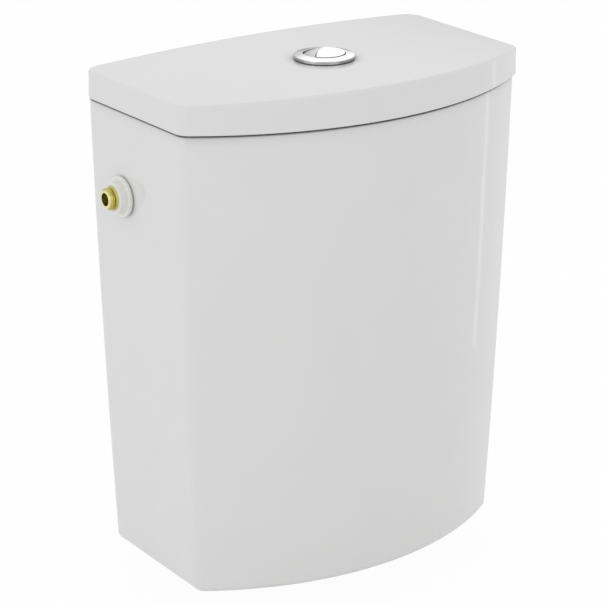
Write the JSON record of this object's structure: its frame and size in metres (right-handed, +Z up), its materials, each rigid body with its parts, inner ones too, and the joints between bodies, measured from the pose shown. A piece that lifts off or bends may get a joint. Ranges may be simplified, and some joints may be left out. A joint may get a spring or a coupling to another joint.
{
  "type": "toilet cistern",
  "caption": "Close-coupled ceramic toilet cistern with a bowed front, crowned lift-off lid, split push button, flush valve and a left side inlet with float valve.",
  "frame": {"origin": "on the axis of the flush outlet, in the plane of the tank's underside", "axes": "+X to the right as seen from the front, +Y back towards the wall, +Z up; the flush tail leaves along -Z"},
  "size_m": [0.3216, 0.1849, 0.4189],
  "materials": {
    "ceramic": "high-gloss white glaze",
    "chrome": "polished",
    "white_plastic": "satin moulded",
    "grey_plastic": "fine satin moulded",
    "blue_plastic": "satin moulded",
    "rubber": "matte moulded",
    "silicone": "matte moulded",
    "steel": "drawn wire and turned pins",
    "brass": "machined, slightly dulled"
  },
  "bodies": {
    "cistern": {"tank": "ceramic", "outlet_base": "white_plastic", "base_seal": "rubber", "outlet_seal": "rubber", "outlet_nut": "white_plastic", "valve_cage": "white_plastic", "lever_frame": "grey_plastic", "full_lever_pin": "steel", "half_lever_pin": "steel", "inlet_tail": "brass", "inlet_filter": "white_plastic", "inlet_backnut": "white_plastic", "inlet_outer_washer": "rubber", "inlet_inner_washer": "rubber", "fill_valve_body": "white_plastic", "valve_diaphragm": "rubber", "valve_cover": "grey_plastic", "cap_nut": "blue_plastic", "arm_pin": "steel", "silencer_tube": "grey_plastic"},
    "lid": {"lid": "ceramic", "button_ring": "chrome", "button_housing": "grey_plastic", "button_nut": "white_plastic", "full_button_spring": "steel", "half_button_spring": "steel"},
    "full_button": {"full_flush_button": "chrome", "full_push_rod": "white_plastic"},
    "half_button": {"half_flush_button": "chrome", "half_push_rod": "white_plastic"},
    "full_lever": {"full_flush_lever": "white_plastic"},
    "half_lever": {"half_flush_lever": "white_plastic"},
    "flush_tube": {"overflow_tube": "grey_plastic", "seal_carrier": "blue_plastic", "flush_seal": "silicone", "seal_clamp": "grey_plastic", "tube_float": "white_plastic", "lift_yoke": "blue_plastic"},
    "half_float": {"half_flush_float": "white_plastic"},
    "arm": {"float_arm": "white_plastic"},
    "screw": {"level_screw": "grey_plastic"},
    "cup": {"float_cup": "white_plastic"}
  },
  "joints": [
    {"name": "lid_lift", "type": "slide", "parent": "cistern", "child": "lid", "axis": [0, 0, 1], "range_m": [0, 0.06]},
    {"name": "full_flush_press", "type": "slide", "parent": "lid", "child": "full_button", "axis": [0, 0, -1], "range_m": [0, 0.005], "stiffness_N_per_m": 400, "springref_m": -0.005, "deforming": ["full_button_spring"]},
    {"name": "half_flush_press", "type": "slide", "parent": "lid", "child": "half_button", "axis": [0, 0, -1], "range_m": [0, 0.005], "stiffness_N_per_m": 400, "springref_m": -0.005, "deforming": ["half_button_spring"]},
    {"name": "full_lever_tilt", "type": "hinge", "parent": "cistern", "child": "full_lever", "pos_m": [0.01697, -0.01697, 0.313], "axis": [-0.7071, -0.7071, 0], "range_deg": [0, 22]},
    {"name": "half_lever_tilt", "type": "hinge", "parent": "cistern", "child": "half_lever", "pos_m": [-0.01697, 0.01697, 0.313], "axis": [0.7071, 0.7071, 0], "range_deg": [0, 22]},
    {"name": "valve_lift", "type": "slide", "parent": "cistern", "child": "flush_tube", "axis": [0, 0, 1], "range_m": [0, 0.0067]},
    {"name": "half_float_rise", "type": "slide", "parent": "cistern", "child": "half_float", "axis": [0, 0, 1], "range_m": [0, 0.006]},
    {"name": "float_arm_swing", "type": "hinge", "parent": "cistern", "child": "arm", "pos_m": [-0.10397, 0.007, 0.2882], "axis": [-1, 0, 0], "range_deg": [0, 12]},
    {"name": "level_screw_turn", "type": "hinge", "parent": "arm", "child": "screw", "pos_m": [-0.10397, -0.01809, 0.2842], "axis": [0, 0, 1], "range_deg": [0, 910]},
    {"name": "float_cup_slide", "type": "slide", "parent": "arm", "child": "cup", "axis": [0, 0, -1], "range_m": [0, 0.01]}
  ],
  "couplings": [
    {"joint": "full_lever_tilt", "follows": "full_flush_press", "rad_per_m": 71.429},
    {"joint": "valve_lift", "follows": "full_flush_press", "ratio": 1.25},
    {"joint": "half_lever_tilt", "follows": "half_flush_press", "rad_per_m": 71.429},
    {"joint": "level_screw_turn", "follows": "float_cup_slide", "rad_per_m": 1570.8}
  ]
}
